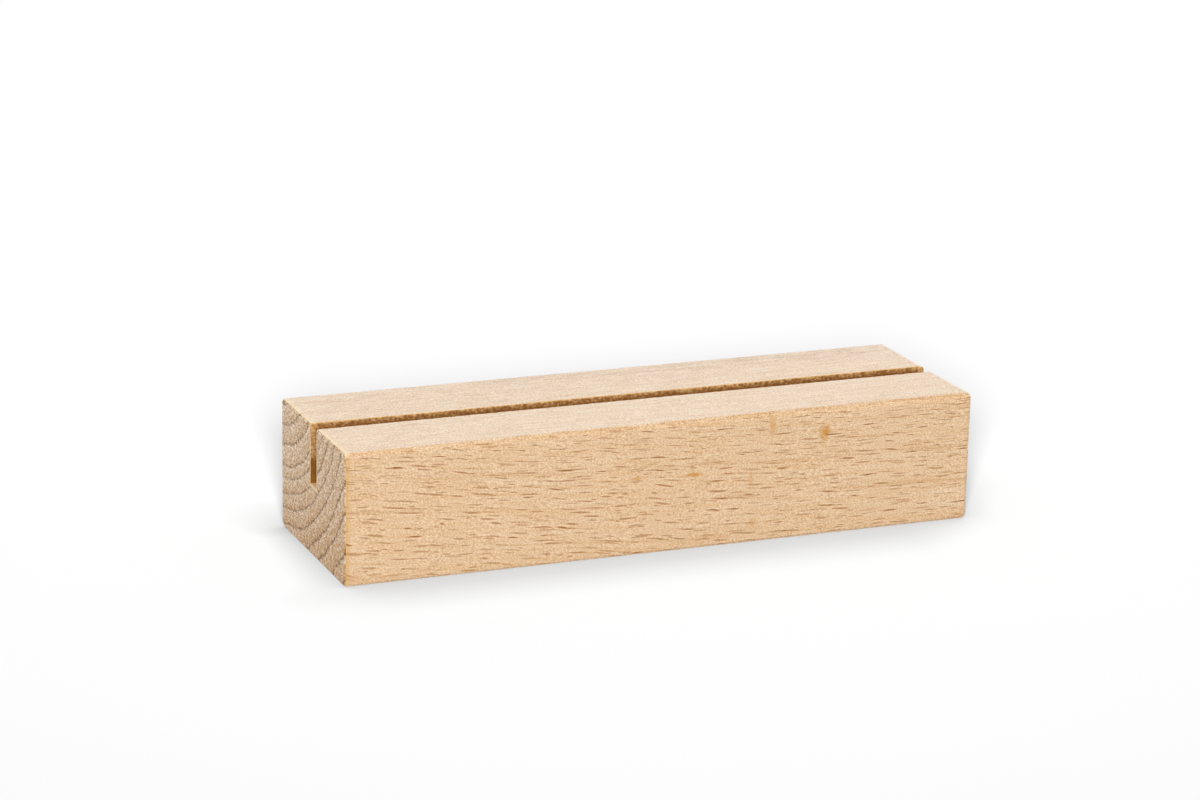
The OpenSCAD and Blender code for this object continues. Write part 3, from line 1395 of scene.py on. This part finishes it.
@dataclass(frozen=True)
class Studio:
    """A white sweep, with a white room around it and a softbox behind the camera.

    A small lamp on the camera lights the floor alone. Its light hides behind the object, apart
    from a soft edge of shadow all round, as a flash gives.
    """

    floor_size: float = 6.0
    # Light of the room and of the floor on the object, where 1 is white
    room_strength: float = 0.9
    bounce_strength: float = 0.5
    softbox_watts: float = 3.1
    softbox_radius: float = 0.2
    softbox_distance: float = 0.9
    flash_watts: float = 52.0
    flash_radius: float = 0.054
    # How far the flash is above the lens
    flash_rise: float = 0.014
    # What the camera sees of the floor: dull paint under the room and the flash, and a glow that
    # brings it up to this white, which is a little over 1 so that its noise doesn't show
    floor_paint: float = 0.1
    floor_white: float = 1.015
    # The shadow at the object's foot from front to back, and the same past its right end
    foot: tuple[FootShadow, ...] = (
        FootShadow(-18 * MM, 14 * MM, 0.32),
        FootShadow(-12 * MM, 7 * MM, 0.25),
        FootShadow(10 * MM, 5 * MM, 0.32),
        FootShadow(25 * MM, 13 * MM, 0.65),
    )
    right_foot: tuple[FootShadow, ...] = (
        FootShadow(-18 * MM, 6 * MM, 0.22),
        FootShadow(-12 * MM, 7 * MM, 0.3),
        FootShadow(-2 * MM, 14 * MM, 0.35),
        FootShadow(25 * MM, 20 * MM, 0.5),
    )
    # How the one goes over into the other along X
    rightness: Slope = Slope(38 * MM, 50 * MM)
    # The shadow by the share of the sky that is open nearby: it is full at the foot of a wall
    closing: Slope = Slope(1.0, 0.5)
    shadow_samples: int = 16

    def light(self, camera: PhotoCamera, piece: Piece) -> None:
        """Builds the room, the floor and the lamps.

        Args:
            camera: The camera. The flash is on it, and the softbox behind it.
            piece: The object that the softbox lights.
        """
        flash = camera.away(camera.distance) + camera.up * self.flash_rise
        softbox = camera.away(self.softbox_distance)
        self._room()
        floor = self._floor(flash)
        self._lamp("flash", flash, camera, self.flash_radius, self.flash_watts, floor)
        self._lamp("softbox", softbox, camera, self.softbox_radius, self.softbox_watts, piece)

    def _lamp(
        self,
        name: str,
        place: Vector,
        camera: PhotoCamera,
        radius: float,
        watts: float,
        lit: Piece,
    ) -> None:
        """Adds a round lamp that looks the camera's way and lights one thing.

        Args:
            name: The lamp's name.
            place: Its middle.
            camera: The camera.
            radius: The lamp's radius.
            watts: Its power.
            lit: What it lights.
        """
        deselect_all()
        bpy.ops.object.light_add(type="AREA")
        lamp = bpy.context.object
        lamp.name = name
        lamp.data.shape = "DISK"
        lamp.data.size = 2 * radius
        lamp.data.energy = watts
        lamp.location = place
        lamp.rotation_euler = camera.back.to_track_quat("Z", "Y").to_euler()
        group = bpy.data.collections.new("lit_by_" + name)
        group.objects.link(lit)
        lamp.light_linking.receiver_collection = group

    def _seen(self, tree: Tree) -> Node:
        """Adds a mask that is 1 for what the camera sees, straight on, in gloss or through glass.

        Args:
            tree: The node tree of the floor or the room.

        Returns:
            The mask's node.
        """
        path = add(tree, "ShaderNodeLightPath").outputs
        rays = {0: path["Is Camera Ray"], 1: path["Is Glossy Ray"]}
        gloss = add(tree, MATH, rays, operation="MAXIMUM")
        return add(tree, MATH, {0: gloss, 1: path["Is Transmission Ray"]}, operation="MAXIMUM")

    def _room(self) -> None:
        """Makes the room even and white: 1 where it is seen, and softer as light."""
        world = bpy.data.worlds.new("white_room")
        world.use_nodes = True
        tree = world.node_tree
        tree.nodes.clear()
        strength = add(tree, RANGE, {"Value": self._seen(tree), "To Min": self.room_strength})
        white = {"Color": grey(1.0), "Strength": strength}
        background = add(tree, "ShaderNodeBackground", white)
        add(tree, "ShaderNodeOutputWorld", {"Surface": background})
        bpy.context.scene.world = world

    def _foot_shadow(self, tree: Tree, place: Socket) -> Node:
        """Adds how much of the floor's white the object's foot takes away.

        Args:
            tree: The node tree of the floor's material.
            place: Where the floor's surface lies.

        Returns:
            The shadow's node.
        """
        along, across, _ = add(tree, SEPARATE, {0: place}).outputs
        widest = max(stop.reach for stop in self.foot + self.right_foot)
        sides = []
        for shadows in (self.foot, self.right_foot):
            first, last = shadows[0].across, shadows[-1].across
            share = add(tree, RANGE, {"Value": across, "From Min": first, "From Max": last})
            ramp = add(tree, RAMP, {"Fac": share})
            stops = ramp.color_ramp.elements
            for shadow in shadows[1:-1]:
                stops.new((shadow.across - first) / (last - first))
            for stop, shadow in zip(stops, shadows):
                stop.color = (shadow.reach / widest, shadow.depth, 0.0, 1.0)
            sides.append(ramp.outputs["Color"])
        rightness = add(tree, RANGE, self.rightness.on(along))
        both = painted(tree, sides[0], [(rightness, sides[1])])
        reach_share, depth, _ = add(tree, SEPARATE, {0: both}).outputs
        reach = {"Distance": add(tree, MATH, {0: reach_share, 1: widest}, operation="MULTIPLY")}
        nearby = add(tree, "ShaderNodeAmbientOcclusion", reach, samples=self.shadow_samples)
        closing = self.closing.on(nearby.outputs["AO"])
        return add(tree, RANGE, closing | {"To Max": depth})

    def _floor(self, flash: Vector) -> Piece:
        """Lays a floor that the camera sees as white, with the object's shadow kept.

        Args:
            flash: Where the flash is, since its light falls off over the floor.

        Returns:
            The floor.
        """
        deselect_all()
        bpy.ops.mesh.primitive_plane_add(size=self.floor_size)
        floor = bpy.context.object
        floor.name = "floor"
        material = bpy.data.materials.new("white_floor")
        material.use_nodes = True
        tree = material.node_tree
        tree.nodes.clear()
        place = add(tree, "ShaderNodeTexCoord").outputs["Object"]
        ends = {0: place, 1: tuple(flash)}
        away = add(tree, VECTOR_MATH, ends, operation="DISTANCE").outputs["Value"]
        cubed = add(tree, MATH, {0: away, 1: 3.0}, operation="POWER")
        # A disk lamp of P watts gives a floor of albedo a the radiance a P cos / (pi pi d d), and
        # cos is the lamp's height over d
        flash_light = self.floor_paint * self.flash_watts * flash.z / math.pi**2
        by_flash = add(tree, MATH, {0: flash_light, 1: cubed}, operation="DIVIDE")
        missing = self.floor_white - self.floor_paint * self.room_strength
        glow = add(tree, MATH, {0: missing, 1: by_flash}, operation="SUBTRACT")
        light = add(tree, "ShaderNodeEmission", {"Color": grey(1.0), "Strength": glow})
        paint = add(tree, "ShaderNodeBsdfDiffuse", {"Color": grey(self.floor_paint)})
        bare_floor = add(tree, "ShaderNodeAddShader", {0: paint, 1: light})
        # The second shader stays empty, which is black
        shaded = {0: self._foot_shadow(tree, place), 1: bare_floor}
        seen_floor = add(tree, "ShaderNodeMixShader", shaded)
        white = {"Color": grey(1.0), "Strength": self.bounce_strength}
        bounce = add(tree, "ShaderNodeEmission", white)
        both = add(tree, "ShaderNodeMixShader", {0: self._seen(tree), 1: bounce, 2: seen_floor})
        add(tree, "ShaderNodeOutputMaterial", {"Surface": both})
        floor.data.materials.append(material)
        return floor


def main() -> None:
    """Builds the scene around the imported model."""
    logging.basicConfig(level=logging.INFO, format="%(name)s: %(message)s")
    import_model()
    camera = PhotoCamera()
    camera.place()
    low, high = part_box("block")
    block = SlottedBlock(low, high)
    piece = block.make()
    block.dress(piece, Log())
    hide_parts("block")
    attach(piece, "root")
    LOG.info("%s: %d faces", piece.name, len(piece.data.polygons))
    Studio().light(camera, piece)
    bpy.context.scene.view_settings.view_transform = "Standard"


if __name__ == "__main__":
    main()
